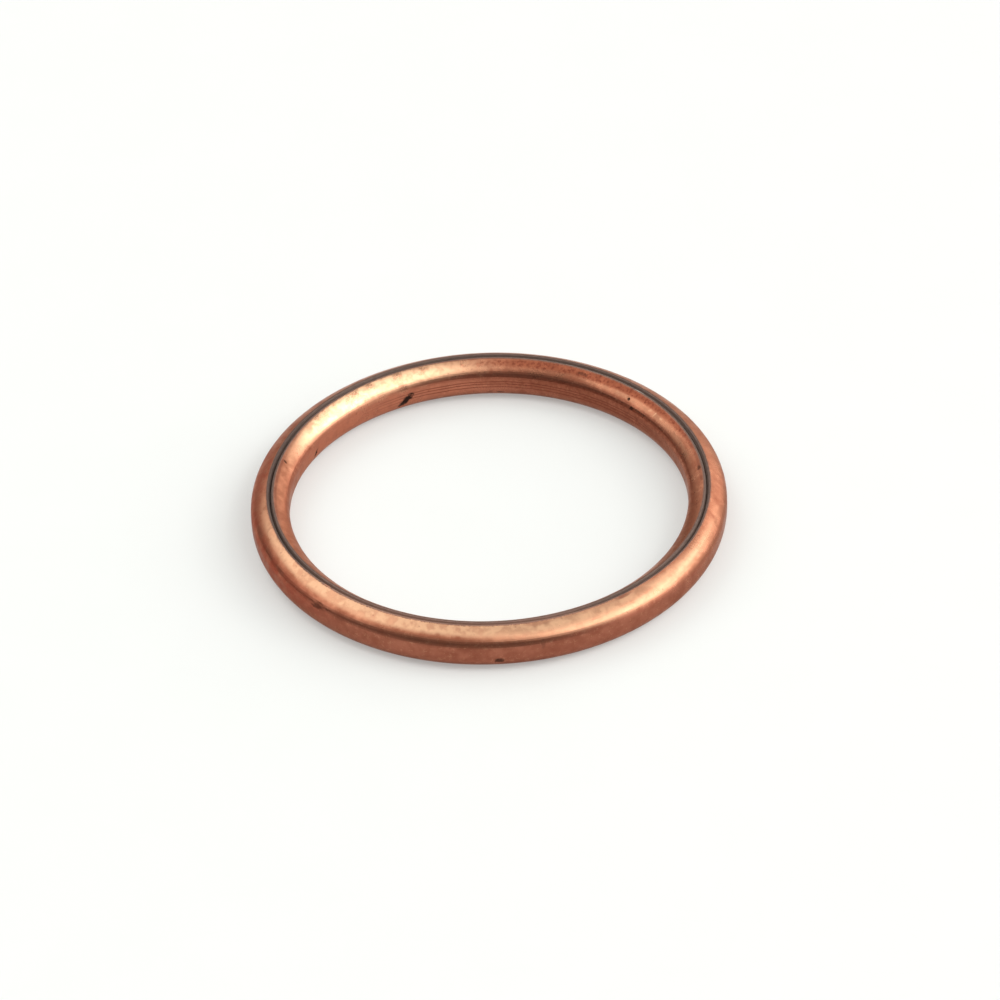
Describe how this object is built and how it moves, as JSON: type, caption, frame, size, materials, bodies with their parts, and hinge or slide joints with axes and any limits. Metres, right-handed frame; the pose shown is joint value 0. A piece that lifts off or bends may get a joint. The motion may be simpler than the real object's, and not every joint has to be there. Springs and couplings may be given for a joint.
{
  "type": "copper exhaust gasket",
  "caption": "Crushable ring of folded copper sheet with an open seam on top, which seals an exhaust pipe to its port.",
  "frame": {"origin": "centre of the bore, in the plane of the foot", "axes": "+Z along the bore's axis, from the foot towards the seam's crest"},
  "size_m": [0.043, 0.043, 0.0039],
  "materials": {
    "copper": "satin"
  },
  "bodies": {
    "root": {"folded_ring": "copper"}
  },
  "joints": []
}
